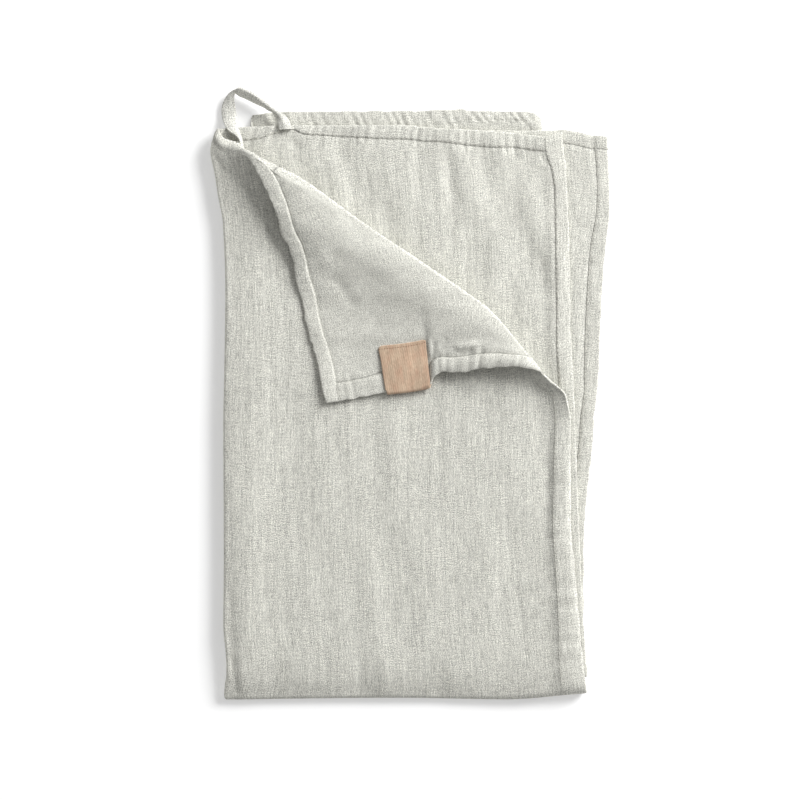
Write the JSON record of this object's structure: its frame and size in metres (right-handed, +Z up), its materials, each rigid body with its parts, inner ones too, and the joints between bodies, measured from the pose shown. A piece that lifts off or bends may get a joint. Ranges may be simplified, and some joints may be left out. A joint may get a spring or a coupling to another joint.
{
  "type": "folded tea towel",
  "caption": "Folded linen tea towel with hemmed edges, a turned-over corner, a tape hanging loop and a small bare label sewn round its side hem.",
  "frame": {"origin": "middle of the folded towel's box, on its underside", "axes": "+Y along the length towards the short ends and the loop, +X from the lengthwise fold to the open sides, +Z up from the surface it lies on"},
  "size_m": [0.2431, 0.3724, 0.0204],
  "materials": {
    "linen": "matt plain weave, pale natural grey-white with slubs along the length",
    "tape": "matt, folded tape of the same cloth",
    "label": "matt tan, finely ribbed, bare"
  },
  "bodies": {
    "root": {"towel_cloth": "linen", "hanging_loop": "tape", "sewn_label": "label"}
  },
  "joints": []
}
